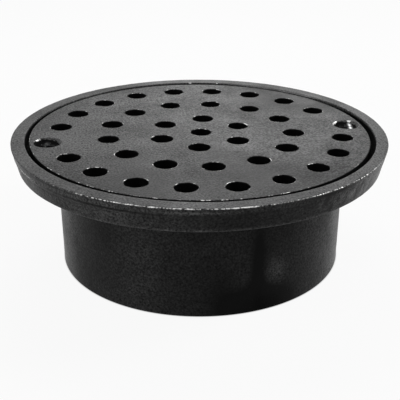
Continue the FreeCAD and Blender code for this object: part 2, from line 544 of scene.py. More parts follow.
@dataclass
class CastBody:
    """The body's casting: hub, flange with its parting bead, rim, recess, seat, pan floor and screw lugs.

    The marks lie at an angle about Z and a height, and a wide one at the back has a copy a turn away.
    """

    height: float
    rim_radius: float
    flange_base: float
    bore_radius: float
    seat: float
    grate_radius: float
    screw_places: Array
    hub_wall_top: float = 4.9
    hub_wall_bottom: float = 4.5
    hub_round: float = 0.4
    pan_width: float = 13.05
    pan_step: float = 1.2
    pan_slope: float = 8.0
    seat_width: float = 5.35
    grate_gap: float = 2.05
    side_inset: float = 2.8
    corner_round: float = 0.8
    rim_round: float = 0.35
    inner_round: float = 0.5
    throat_round: float = 3.0
    root_fillet: float = 2.5
    bead_drop: float = 3.4
    bead_width: float = 1.2
    bead_height: float = 0.35
    bead_round: float = 0.25
    bead_angle: float = -162.0
    bead_spread: float = 20.0
    bead_least: float = 0.1
    bead_peak: float = 0.4
    lug_radius: float = 6.975
    lug_drop: float = 6.6
    lug_draft: float = 4.0
    lug_chamfer: float = 0.8
    lug_below_seat: float = 0.1
    tapped_radius: float = 3.275
    stub_turn: float = 1.7
    stub_segments: int = 64
    segments: int = 720
    long_waves: LatticeNoise = LatticeNoise(9.0, 11, 0.05)
    short_waves: LatticeNoise = LatticeNoise(2.6, 12, 0.03)
    wave_depth: float = 0.05
    band_grain: LatticeNoise = LatticeNoise(1.9, 14, 0.03)
    band_depth: float = 0.024
    nicks: LatticeNoise = LatticeNoise(3.0, 13)
    nick_limit: float = 0.2
    nick_depth: float = 0.12
    nick_reach: float = 1.2
    outward_least: float = 0.3
    margin: float = 1.0
    recess_margin: float = 2.0
    skin_depth: float = 1.2
    rim_depth: float = 0.6
    flange_lip: float = 0.5
    hub_half_wall: float = 2.5
    recess_bulges: tuple[Mark, ...] = (
        Mark(-118, 0, 34, 1, 1.1), Mark(-168, 0, 24, 1, 0.35), Mark(-15, 0, 45, 1, -0.35),
        Mark(-238, 0, 24, 1, 0.8), Mark(-83, 0, 12, 1, 0.35), Mark(45, 0, 25, 1, 0.7),
        Mark(80, 0, 20, 1, 0.7), Mark(-280, 0, 20, 1, 0.7))
    recess_runs: tuple[Mark, ...] = (Mark(38, 0, 11, 1, 1.3), Mark(56, 0, 11, 1, 1.15))
    run_depth: float = 0.5
    hub_tone: float = 0.2
    # Tone marks on the hub. The wide ones at -25 and -187 degrees, the hub's right and left sides as seen,
    # are painted sheen; the one at -107 degrees just under the flange is painted shade; the strong dark one
    # low at -80 degrees darkens the hub's lower front right; the rest are lighter and darker patches.
    hub_marks: tuple[Mark, ...] = (
        Mark(-126, 20, 11, 30, 0.16), Mark(-81.5, 21, 3, 22, -0.3), Mark(-74, 18, 4, 5, 0.35),
        Mark(-80, 2, 11, 8, -0.9), Mark(-57, 28, 9, 14, 0.1), Mark(-165, 27, 7, 11, 0.45),
        Mark(-142, 30, 6, 12, -0.1), Mark(-57, 41, 6, 7, 0.3), Mark(-96, 10, 7, 14, -0.14),
        Mark(-107, 47.5, 22, 3, -0.15), Mark(-25, 24, 17, 60, 1.5), Mark(-187, 24, 16, 60, 1.7))
    side_tone: float = 0.2
    side_scuff: Mark = Mark(-56, 53, 16, 6, 0.45)
    # Tone marks on the flange's side. Those at -29 and -191 degrees, its right and left sides as seen, are
    # painted sheen; the thin dark line under the bead at -128 degrees is a painted shadow; the thin light
    # lines on the bead at -162 degrees and along the lower edge at -100 degrees are painted highlights; the
    # rest are lighter and darker patches.
    side_marks: tuple[Mark, ...] = (
        Mark(-130, 55, 22, 9, 0.25), Mark(-29, 55, 17, 9, 1.7), Mark(-191, 55, 16, 9, 1.9),
        Mark(-130, 52, 20, 3.2, 0.3), Mark(-62, 58, 9, 1.5, -0.5), Mark(-128, 56.0, 13, 0.45, -0.5),
        Mark(-162, 56.1, 12, 0.5, 0.9), Mark(-158, 52, 12, 3.5, 0.3), Mark(-100, 48.9, 50, 0.6, 0.55),
        Mark(-103, 57.4, 8, 0.5, 0.4), Mark(-45, 56, 8, 5, 1.2), Mark(-148, 59.0, 12, 0.7, -0.6))
    above_bead: float = 1.45
    below_bead: float = 0.8
    streaks: LatticeNoise = LatticeNoise(1.0, 32, 2.0)
    streak_least: float = 0.1
    streak_width: float = 1.6
    streak_height: float = 3.0
    wall_tone: float = 0.5
    # How far the recess wall's tone falls with depth below the rim: painted shade.
    wall_painted_shade: float = 1.5
    wall_depth: float = 0.3
    # Painted light on the recess wall at the back and right, where the narrow gap's shade falls.
    recess_painted_light: tuple[Mark, ...] = (
        Mark(75, 58.8, 60, 2.4, 2.24), Mark(-285, 58.8, 60, 2.4, 2.24), Mark(36, 58.8, 24, 1.6, 1.28),
        Mark(8, 59.5, 22, 1.2, 0.8))
    rim_tone: float = 0.77
    # Tone marks on the rim's top: lighter at -20 and -190 degrees, its right and left sides as seen, as
    # painted sheen; darker at the back and at -70 degrees.
    rim_marks: tuple[Mark, ...] = (
        Mark(-20, 59.5, 45, 4, 0.42), Mark(-190, 59.5, 40, 4, 0.3), Mark(75, 59.5, 50, 4, -0.2),
        Mark(-285, 59.5, 50, 4, -0.2), Mark(-70, 59.5, 10, 4, -0.25))
    wear_patches: LatticeNoise = LatticeNoise(6.0, 31, 0.2)
    rim_wear: float = 0.8
    rim_fade: tuple[float, float] = (1.6, 0.45)
    rim_rubs: tuple[Mark, ...] = (
        Mark(-124, 59.5, 5, 4, 0.3), Mark(-91, 59.5, 6, 4, 0.3), Mark(-85, 59.5, 55, 4, 0.25),
        Mark(-172, 59.5, 26, 4, -0.6), Mark(0, 59.5, 22, 4, -0.4), Mark(60, 59.5, 45, 4, -0.45),
        Mark(-300, 59.5, 45, 4, -0.45))
    recess_wear: float = 0.5
    recess_fade: tuple[float, float] = (1.5, 0.6)
    recess_rubs: tuple[Mark, ...] = (
        Mark(75, 59.5, 40, 1, -0.4), Mark(-285, 59.5, 40, 1, -0.4), Mark(81.5, 59.5, 1.4, 1, 1.0),
        Mark(79, 59.5, 0.6, 1, 0.9), Mark(70.7, 59.5, 0.6, 1, 1.0))
    # Bright iron along the bead's ridge on the left: partly wear, partly a painted highlight on the ridge.
    bead_rub_and_highlight: Mark = Mark(-161, 55.9, 12, 0.7, 0.95)
    most_wear: float = 1.6
    most_tone: float = 1.7

    def section(self) -> list[Corner]:
        """Corners of the casting's section, from the bore's foot round by the rim to the throat.

        Returns:
            The corners, counterclockwise.
        """
        pan_radius = self.bore_radius + self.pan_width
        recess_foot = pan_radius + self.seat_width
        recess = self.grate_radius + self.grate_gap
        throat = self.seat - self.pan_step - self.pan_width * math.tan(math.radians(self.pan_slope))
        bead = [self.height - self.bead_drop - self.bead_width * share for share in (1.0, 0.5, 0.0)]
        return [
            Corner(self.bore_radius, 0, spacing=5.0),
            Corner(self.bore_radius + self.hub_wall_bottom, 0, self.hub_round),
            Corner(self.bore_radius + self.hub_wall_top, self.flange_base, self.root_fillet, 1.6),
            Corner(self.rim_radius - self.side_inset, self.flange_base, self.corner_round),
            Corner(self.side(bead[0]), bead[0], spacing=0.5),
            Corner(self.side(bead[1]) + self.bead_height, bead[1], self.bead_round, 0.4),
            Corner(self.side(bead[2]), bead[2], spacing=0.4),
            Corner(self.rim_radius, self.height, self.rim_round, 0.6),
            Corner(recess, self.height, self.inner_round, 0.8),
            Corner(recess_foot, self.seat, spacing=1.0),
            Corner(pan_radius, self.seat),
            Corner(pan_radius, self.seat - self.pan_step, self.corner_round),
            Corner(self.bore_radius, throat, self.throat_round, 3.0),
        ]

    def side(self, height: Any) -> Any:
        """Radius of the flange's tapered side without its bead, at one height or an array of them."""
        return self.rim_radius - self.side_inset * (self.height - height) / (self.height - self.flange_base)

    def lug(self) -> Array:
        """Section of a lug about its own axis: a drafted boss from below the flange to just under the seat.

        Returns:
            Points of its side from the foot up, radius and height.
        """
        slope = math.tan(math.radians(self.lug_draft))
        foot, top = self.flange_base - self.lug_drop, self.seat - self.lug_below_seat
        foot_radius = self.lug_radius - self.lug_drop * slope
        return np.array([
            [foot_radius - self.lug_chamfer, foot],
            [foot_radius, foot + self.lug_chamfer],
            [self.lug_radius, self.flange_base],
            [self.lug_radius - (top - self.flange_base) * slope, top],
        ])

    def tapped_hole(self) -> Array:
        """Section of the hole through a lug about its own axis, from under the lug up, radius and height."""
        foot = self.flange_base - self.lug_drop - self.margin
        return np.array([[self.tapped_radius, foot], [self.tapped_radius, self.height]])

    def stubs(self, section: Array) -> Piece:
        """Closed turned solids about the screws' axes, spun a little so that no edge lies on the casting's.

        Args:
            section: their side from the foot up, radius and height.

        Returns:
            The solids as one mesh object.
        """
        turn = math.radians(self.stub_turn)
        cosine, sine = math.cos(turn), math.sin(turn)
        spin = np.array([[cosine, sine, 0], [-sine, cosine, 0], [0, 0, 1]])
        rings = turned(section, self.stub_segments).reshape(-1, 3) @ spin
        solid = np.concatenate([rings, [[0, 0, section[0, 1]], [0, 0, section[-1, 1]]]])
        points, faces = [], []
        for number, place in enumerate(self.screw_places):
            points.append(solid + np.append(place, 0))
            faces += solid_faces(len(section), self.stub_segments, number * len(solid))
        return mesh_piece("stubs", np.concatenate(points), faces)

    def build(self) -> Piece:
        """Turns the casting's section, roughens its skin, and adds the lugs and their tapped holes.

        Each point of the skin moves inwards along the section's normal by a sum of smooth random fields. Near
        the rim's outer edge a further field bites small nicks out of it. The bead fades away from the place
        where it is highest. The recess is out of round by its bulges, as its core was in the mould, and where
        paint ran into the gap its wall also leans inwards below the rim.

        Returns:
            The casting.
        """
        section = rounded_section(self.section())
        angle = full_turn(self.segments)
        points = turned(section, self.segments)
        normals = section_normals(section)
        radius, height = section[:, :1], section[:, 1:]
        looks_out = normals[:, :1] > self.outward_least
        side_foot = self.side(self.flange_base) - self.margin
        on_side = looks_out & (height > self.flange_base) & (radius > side_foot)
        on_band = on_side & (height > self.height - self.bead_drop)
        on_rim = (height > self.seat + self.recess_margin) & (radius > self.grate_radius)
        on_skin = looks_out & (height > self.margin) | on_rim
        waves = self.long_waves.at(points) + self.short_waves.at(points) - self.wave_depth
        grain = self.band_grain.at(points) - self.band_depth
        from_edge = np.hypot(radius - self.rim_radius, height - self.height)
        bites = np.clip(self.nicks.at(points) - self.nick_limit, 0, 1) * fading(from_edge, 1, self.nick_reach)
        move = np.where(on_skin, np.minimum(waves, 0), 0) + np.where(on_band, grain, 0)
        move = move - self.nick_depth * bites
        points = points + turned(normals, self.segments) * move[..., None]
        bead = np.where(on_side, np.clip(radius - self.side(height), 0, None), 0)
        turn = (np.degrees(angle) - self.bead_angle + 180) % 360 - 180
        kept = self.bead_least + self.bead_peak * np.exp(-(turn / self.bead_spread) ** 2)
        points[..., :2] *= (1 - bead * (1 - kept) / radius)[..., None]
        recess_edge = self.grate_radius + self.grate_gap + self.inner_round
        rim_edge = self.rim_radius - self.margin
        moved = np.clip((rim_edge - radius) / (rim_edge - recess_edge), 0, 1)
        moved = np.where((radius > self.grate_radius) & (height > self.seat - SAME), moved, 0)
        depth = np.clip((self.height - height) / self.run_depth, 0, 1)
        around = bearing(angle)
        inward = added(self.recess_bulges, around, 0.0) + depth * added(self.recess_runs, around, 0.0)
        points[..., :2] *= (1 - moved * inward / radius)[..., None]
        piece = mesh_piece("cast_body", points, [grid_faces(len(section), self.segments, True)])
        combined(piece, self.stubs(self.lug()), "UNION")
        combined(piece, self.stubs(self.tapped_hole()), "DIFFERENCE")
        shade_smooth(piece)
        self.age(piece)
        return piece

    def age(self, piece: Piece) -> None:
        """Stores how worn and how grey each point of the casting is.

        Wear is high on the rim's outer edge, less on its inner one, and falls off within a millimetre of
        them. Tone is the greyness of the paint, from dust and from painted light and shade: most on the rim's
        top, streaky on the flange's side and low on the hub, with painted sheen at the sides as seen, painted
        highlights and a painted shadow about the bead, and painted shade under the flange. In the recess it
        falls with depth as painted shade, save where painted light lightens the wall in the gap, and inside,
        where the paint is left rough, it is below zero.

        Args:
            piece: the casting.
        """
        points = mesh_points(piece)
        radius, height = np.hypot(points[:, 0], points[:, 1]), points[:, 2]
        angle = bearing(np.arctan2(points[:, 1], points[:, 0]))
        drop = self.height - height
        recess = self.grate_radius + self.grate_gap - added(self.recess_bulges, angle, 0.0)
        on_side = radius > self.side(height) - self.skin_depth
        patches = self.wear_patches.at(points)
        rim_rub = self.rim_wear + patches + added(self.rim_rubs, angle, height)
        recess_rub = self.recess_wear + patches + added(self.recess_rubs, angle, height)
        wear = np.maximum(fading(np.hypot(radius - self.rim_radius, drop), *self.rim_fade) * rim_rub,
                          fading(np.hypot(radius - recess, drop), *self.recess_fade) * recess_rub)
        # Bead ridge: wear and painted highlight.
        wear = np.maximum(wear, np.where(on_side, added([self.bead_rub_and_highlight], angle, height), 0))
        around = np.radians(angle) * self.rim_radius
        spread = np.stack([around / self.streak_width, height / self.streak_height, np.zeros_like(angle)],
                          axis=1)
        scuff = added([self.side_scuff], angle, height)
        side = self.side_tone + scuff + added(self.side_marks, angle, height)
        side *= 1 + (self.streak_least + scuff) * self.streaks.at(spread)
        side *= np.where(drop < self.bead_drop, self.above_bead, self.below_bead)
        rim = self.rim_tone + added(self.rim_marks, angle, height)
        # Recess wall: darker with depth, painted shade.
        wall = self.wall_tone - self.wall_painted_shade * np.clip(drop / self.skin_depth, 0, 1)
        # Painted light on the wall in the gap.
        wall = wall + added(self.recess_painted_light, angle, height)
        hub = self.hub_tone + added(self.hub_marks, angle, height)
        rim_start = recess - self.rim_depth - added(self.recess_runs, angle, 0.0)
        parts = [(drop < self.rim_depth) & (radius > rim_start),
                 (height > self.flange_base - self.flange_lip) & on_side,
                 (radius < recess + self.wall_depth) & (height > self.seat),
                 (radius > self.bore_radius + self.hub_half_wall) & (height < self.flange_base)]
        tone = np.select(parts, [rim, side, wall, hub], -1.0)
        set_attribute(piece, "wear", np.clip(wear, 0, self.most_wear))
        set_attribute(piece, "tone", np.clip(tone, -1, self.most_tone))


@dataclass(frozen=True)
class WallFinish:
    """A wall's unevenness, the depth of its wear, the paint that its lip keeps and the depth over which its
    tone turns dark.
    """

    unevenness: float
    wear_depth: float
    paint_kept: float
    dark_depth: float = 0.8


class Wall(Enum):
    """Kinds of wall in the grate with their finishes."""

    DRAIN = WallFinish(0.04, 0.36, 0.06)
    SINK = WallFinish(0.012, 1.3, 0.4)
    # The plate's edge turns dark soonest below its top: painted shade.
    EDGE = WallFinish(0.03, 0.22, 0.3, 0.4)


@dataclass
class PerforatedGrate:
    """The grate's casting: a flat plate with rings of drain holes and two countersunk screw holes."""

    radius: float
    top: float
    foot: float
    screw_places: Array
    hole_radius: float = 5.02
    draft: float = 3.0
    edge_round: float = 0.28
    edge_trim: float = 0.2
    lip_round: float = 0.22
    land: float = 0.12
    inner_ring: float = 20.0
    inner_count: int = 6
    inner_start: float = 14.9
    middle_ring: float = 43.15
    middle_count: int = 13
    middle_start: float = 15.3
    outer_inset: float = 12.72
    outer_places: int = 20
    sink_radius: float = 6.35
    sink_angle: float = 82.0
    sink_rings: int = 15
    sink_lip: float = 0.1
    cone_drop: float = 0.25
    screw_hole_radius: float = 3.575
    hole_scatter: float = 0.10
    wave_counts: tuple[int, int] = (2, 9)
    pattern_shift: tuple[float, float] = (-0.13, -0.3)
    lean: tuple[float, float] = (-0.0044, -0.0016)
    settle: float = 0.03
    face_spacing: float = 2.5
    face_offset: float = 0.3
    face_margin: float = 1.3
    edge_margin: float = 2.0
    face_tone: float = 0.67
    # Lighter and darker patches on the plate's top; those towards the front, at negative y, darken it as
    # painted shade.
    face_marks: tuple[Mark, ...] = (
        Mark(-58, 0, 18, 22, 0.55), Mark(24, -19, 20, 20, 0.35), Mark(-36, 48, 24, 20, 0.35),
        Mark(-52, -50, 24, 24, -0.2), Mark(-33, -58, 20, 20, -0.2), Mark(22, -67, 24, 22, -0.3),
        Mark(9, -53, 13, 12, -0.3), Mark(2, -28, 10, 16, -0.3), Mark(64, 34, 22, 22, -0.6),
        Mark(38, 48, 16, 18, -0.4), Mark(-17, 9, 13, 13, -0.2), Mark(51, -48, 14, 14, 0.1),
        Mark(-20, -82, 100, 34, -0.2), Mark(12, 69, 12, 7, 0.6))
    # Rubbed bright iron on both countersinks' upper-left lips, and on the right one's back lip a patch that
    # carries the screw head's painted glare streak across: painted reflection.
    lip_rubs_and_glare: tuple[Mark, ...] = (
        Mark(-74.2, 4.2, 2.0, 2.0, 1.3), Mark(66.5, 0.8, 2.6, 2.4, 1.8), Mark(74.3, 1.3, 0.9, 1.6, 2.2))
    lip_patches: LatticeNoise = LatticeNoise(1.8, 41, 0.7)
    lip_wear: float = 0.65
    lip_start: float = 1.1
    lip_tone: float = 0.45
    lip_dust_and_light_fade: float = 0.3
    dark_start: float = 0.4
    # Painted light on the countersinks' cones down to a depth, more and deeper on the right as seen, a lit
    # crescent; below it the tone drops to painted shade.
    sink_painted_light: float = 2.3
    sink_painted_light_swing: float = 0.8
    sink_painted_light_depth: float = 1.0
    sink_painted_light_depth_swing: float = 0.6
    most_wear: float = 1.4
    # Paint kept on the plate's edge rises towards the back as seen, so its bright iron and highlights gather
    # at the front: painted highlight.
    edge_glint_swing: float = 0.25
    # Turn of the view about Z, by which the countersinks' painted light and the edge's highlights are placed.
    view_turn: float = 15.0
    hole_segments: int = 72
    edge_segments: int = 480
    lip_points: int = 6
    edge_points: int = 7
    seed: int = 21

    def hole_places(self) -> Array:
        """Centres of the drain holes: one in the middle and three rings, less the screws' places.

        Returns:
            Array of the centres, x and y.
        """
        screw_turns = np.arctan2(self.screw_places[:, 1], self.screw_places[:, 0]) / (2 * math.pi)
        screws = np.round(screw_turns * self.outer_places).astype(int) % self.outer_places
        rings = ((self.inner_ring, self.inner_count, self.inner_start, []),
                 (self.middle_ring, self.middle_count, self.middle_start, []),
                 (self.radius - self.outer_inset, self.outer_places, 0.0, screws))
        places = [np.zeros((1, 2))]
        for radius, count, start, skip in rings:
            angle = np.radians(start + np.delete(np.arange(count), skip) * 360 / count)
            places.append(radius * np.stack([np.cos(angle), np.sin(angle)], axis=1))
        return np.concatenate(places) + self.pattern_shift

    def rise(self, x: Any, y: Any) -> Any:
        """Rise of the plate's top above its place in the CAD: its lean along X and Y less its settling."""
        return self.lean[0] * x + self.lean[1] * y - self.settle

    def lip(self, radius: float, fall: Array) -> Array:
        """Section of a hole from the plate's top down: a flat land, a rounded lip and what falls below it.

        Args:
            radius: the hole's radius at its lip.
            fall: the rest of the section, radius and height.

        Returns:
            Points of the section, radius and height.
        """
        turn = np.radians(np.linspace(0, 90, self.lip_points))
        arc = np.stack([radius + self.lip_round * (1 - np.sin(turn)),
                        self.top - self.lip_round * (1 - np.cos(turn))], axis=1)
        land = np.array([[radius + self.lip_round + self.land, self.top]])
        return np.concatenate([land, arc, fall])

    def drain_section(self) -> Array:
        """Section of a drain hole from the top down, radius and height, wider at its foot."""
        widening = math.tan(math.radians(self.draft)) * (self.top - self.foot)
        return self.lip(self.hole_radius, np.array([[self.hole_radius + widening, self.foot]]))

    def screw_section(self) -> Array:
        """Section of a screw hole with its countersink.

        Returns:
            Points of the section from the top down, radius and height.
        """
        slope = math.tan(math.radians(self.sink_angle / 2))
        depth = (self.sink_radius - self.screw_hole_radius) / slope
        cone = np.linspace(self.sink_radius - self.cone_drop * slope, self.screw_hole_radius, self.sink_rings)
        fall = np.stack([cone, self.top - depth + (cone - self.screw_hole_radius) / slope], axis=1)
        foot = np.array([[self.screw_hole_radius, self.foot]])
        return self.lip(self.sink_radius - self.sink_lip, np.concatenate([fall, foot]))

    def edge_section(self) -> Array:
        """Section of the plate's edge, a little smaller than in the CAD, drafted and rounded at the top.

        Returns:
            Points of the section from the foot up, radius and height.
        """
        radius = self.radius - self.edge_trim
        inset = math.tan(math.radians(self.draft)) * (self.top - self.foot)
        turn = np.radians(np.linspace(0, 90, self.edge_points))
        arc = np.stack([radius - self.edge_round * (1 - np.cos(turn)),
                        self.top - self.edge_round * (1 - np.sin(turn))], axis=1)
        land = np.array([[radius - self.edge_round - self.land, self.top]])
        return np.concatenate([np.array([[radius - inset, self.foot]]), arc, land])

    def wall(self, kind: Wall, centre: Array, section: Array,
             random: np.random.Generator) -> tuple[Array, Array]:
        """Turns a section about a centre, with a radius that wanders a little.

        The wandering is a sum of waves sin(k t + phase) of the angle t. On the plate's edge it only goes
        inwards. Wear is full at the lip and falls off with depth, and so does the tone, which ends below
        zero. In a countersink both go deeper; there the tone is painted light down to a depth that is
        greatest on the right as seen, a lit crescent, and painted shade below it. The plate's edge keeps the
        most paint at the back as seen, so that its bright iron and the highlights on it gather at the front,
        a painted highlight, and just under its top its tone turns dark soonest, a painted shade.

        Args:
            kind: the kind of wall.
            centre: x and y of its axis.
            section: its section, radius and height.
            random: source of the phases and heights of the waves.

        Returns:
            Points by section point, angle and axis, and the rows wear, kept paint and tone for them.
        """
        finish = kind.value
        angle = full_turn(self.edge_segments if kind is Wall.EDGE else self.hole_segments)
        waves = np.arange(*self.wave_counts)[:, None]
        phases = random.uniform(0, 2 * math.pi, (len(waves), 1))
        heights = random.normal(0, finish.unevenness, (len(waves), 1))
        wander = (heights * np.sin(waves * angle + phases)).sum(axis=0)
        if kind is Wall.DRAIN:
            wander += random.normal(0, self.hole_scatter)
        elif kind is Wall.EDGE:
            wander = np.minimum(wander, 0)
        grid = turned(section, len(angle))
        grid[..., :2] += wander[:, None] * np.stack([np.cos(angle), np.sin(angle)], axis=1) + centre
        drop = self.top - section[:, 1:]
        wear = fading(drop, self.lip_start, finish.wear_depth)
        seen = angle + math.radians(self.view_turn)
        kept = finish.paint_kept + (self.edge_glint_swing * np.sin(seen) if kind is Wall.EDGE else 0)
        if kind is Wall.SINK:
            # Countersink: painted light above a depth that is greatest on the right as seen, painted shade
            # below.
            depth = self.sink_painted_light_depth + self.sink_painted_light_depth_swing * np.cos(seen)
            painted_lit = np.clip((depth - drop) / self.lip_dust_and_light_fade, 0, 1)
            tone = (self.sink_painted_light + self.sink_painted_light_swing * np.cos(seen)) * painted_lit - 1
        else:
            # Tone turns dark below the lip; on the plate's edge, where it comes soonest, this is painted
            # shade.
            dark = np.clip(drop / finish.dark_depth - self.dark_start, 0, 1)
            tone = self.lip_tone * fading(drop, 1, self.lip_dust_and_light_fade) - dark
        looks = [np.broadcast_to(look, grid.shape[:2]).ravel() for look in (wear, kept, tone)]
        return grid, np.array(looks)

    def build(self) -> Piece:
        """Joins the walls of the holes and the edge by two flat faces.

        The plate's top and underside are the flat region between the edge's loop and the holes' loops, split
        into triangles. At last each point rises by the plate's lean times its height above the foot. Wear is
        the walls' wear, broken up by a random field and the paint that they keep, with none on the flat top.

        Returns:
            The grate.
        """
        random = np.random.default_rng(self.seed)
        walls = [(Wall.DRAIN, centre + random.normal(0, self.hole_scatter, 2), self.drain_section())
                 for centre in self.hole_places()]
        walls += [(Wall.SINK, place, self.screw_section()) for place in self.screw_places]
        walls.append((Wall.EDGE, np.zeros(2), self.edge_section()))
        points, looks, faces, top_loops, foot_loops = [], [], [], [], []
        first = 0
        for kind, centre, section in walls:
            grid, look = self.wall(kind, centre, section, random)
            rows, segments = grid.shape[:2]
            points.append(grid.reshape(-1, 3))
            looks.append(look)
            faces.append(grid_faces(rows, segments, False, first))
            ring = first + np.arange(segments)
            loops = (ring, ring + (rows - 1) * segments)
            top_loops.append(loops[kind is Wall.EDGE])
            foot_loops.append(loops[kind is not Wall.EDGE])
            first += rows * segments
        inner = self.face_points([centre for _, centre, _ in walls[:-1]])
        points = np.concatenate(points + [inner])
        wear, kept, tone = np.concatenate(looks + [np.zeros((3, len(inner)))], axis=1)
        top = np.concatenate(top_loops + [np.arange(first, len(points))])
        wear[top] = 0
        tone[top] = self.face_tone + added(self.face_marks, points[top, 0], points[top, 1])
        faces += [self.flat_face(points, top_loops, True, top), self.flat_face(points, foot_loops, False)]
        share = (points[:, 2] - self.foot) / (self.top - self.foot)
        points[:, 2] += share * self.rise(points[:, 0], points[:, 1])
        piece = mesh_piece("perforated_grate", points, faces)
        broken = self.lip_wear - kept + self.lip_patches.at(points)
        # Adds the lip rubs, among them the end of the painted glare streak.
        broken += added(self.lip_rubs_and_glare, points[:, 0], points[:, 1])
        set_attribute(piece, "wear", np.clip(wear * broken, 0, self.most_wear))
        set_attribute(piece, "tone", tone)
        return piece

    def face_points(self, holes: list[Array]) -> Array:
        """Places on the plate's top between the holes, on a square lattice, for its changes of tone.

        Args:
            holes: centres of the holes, drain holes first and the screws' last.

        Returns:
            Array of points by axis.
        """
        count = int(self.radius / self.face_spacing)
        steps = np.arange(-count, count + 1) * self.face_spacing
        places = np.stack(np.meshgrid(steps, steps + self.face_offset), axis=-1).reshape(-1, 2)
        clear = np.full(len(holes), self.hole_radius + self.face_margin)
        clear[-len(self.screw_places):] = self.sink_radius + self.face_margin
        gaps = np.linalg.norm(places[:, None] - np.array(holes)[None], axis=2) > clear
        kept = places[gaps.all(axis=1) & (np.hypot(*places.T) < self.radius - self.edge_margin)]
        return np.column_stack([kept, np.full(len(kept), self.top)])

    def flat_face(self, points: Array, loops: list[Array], upward: bool,
                  all_points: Array | None = None) -> Array:
        """Splits the flat region inside the last loop and outside the others into triangles.

        Args:
            points: all points of the mesh.
            loops: indices of the points on each loop in order, the plate's edge last.
            upward: whether the faces look up.
            all_points: indices of the loops' points, and after them those of points inside the region.

        Returns:
            Array of three indices for each face.
        """
        index = np.concatenate(loops) if all_points is None else all_points
        place = points[index, :2]
        starts = np.cumsum([0] + [len(loop) for loop in loops])
        edges = [(int(low + k), int(low + (k + 1) % (high - low)))
                 for low, high in zip(starts[:-1], starts[1:]) for k in range(high - low)]
        made = delaunay_2d_cdt([Vector(corner) for corner in place.tolist()], edges, [], 1, MERGE)
        source = np.array([origin[0] for origin in made[3]])
        triangles = source[np.array(made[2])]
        owner = np.full(len(index), len(loops))
        owner[:starts[-1]] = np.repeat(np.arange(len(loops)), np.diff(starts))
        owner = owner[triangles]
        inside_hole = (owner == owner[:, :1]).all(axis=1) & (owner[:, 0] < len(loops) - 1)
        triangles = triangles[~inside_hole]
        first, second, third = (place[triangles[:, k]] for k in range(3))
        wrong = (np.cross(second - first, third - first) > 0) != upward
        triangles[wrong] = triangles[wrong][:, ::-1]
        return index[triangles]


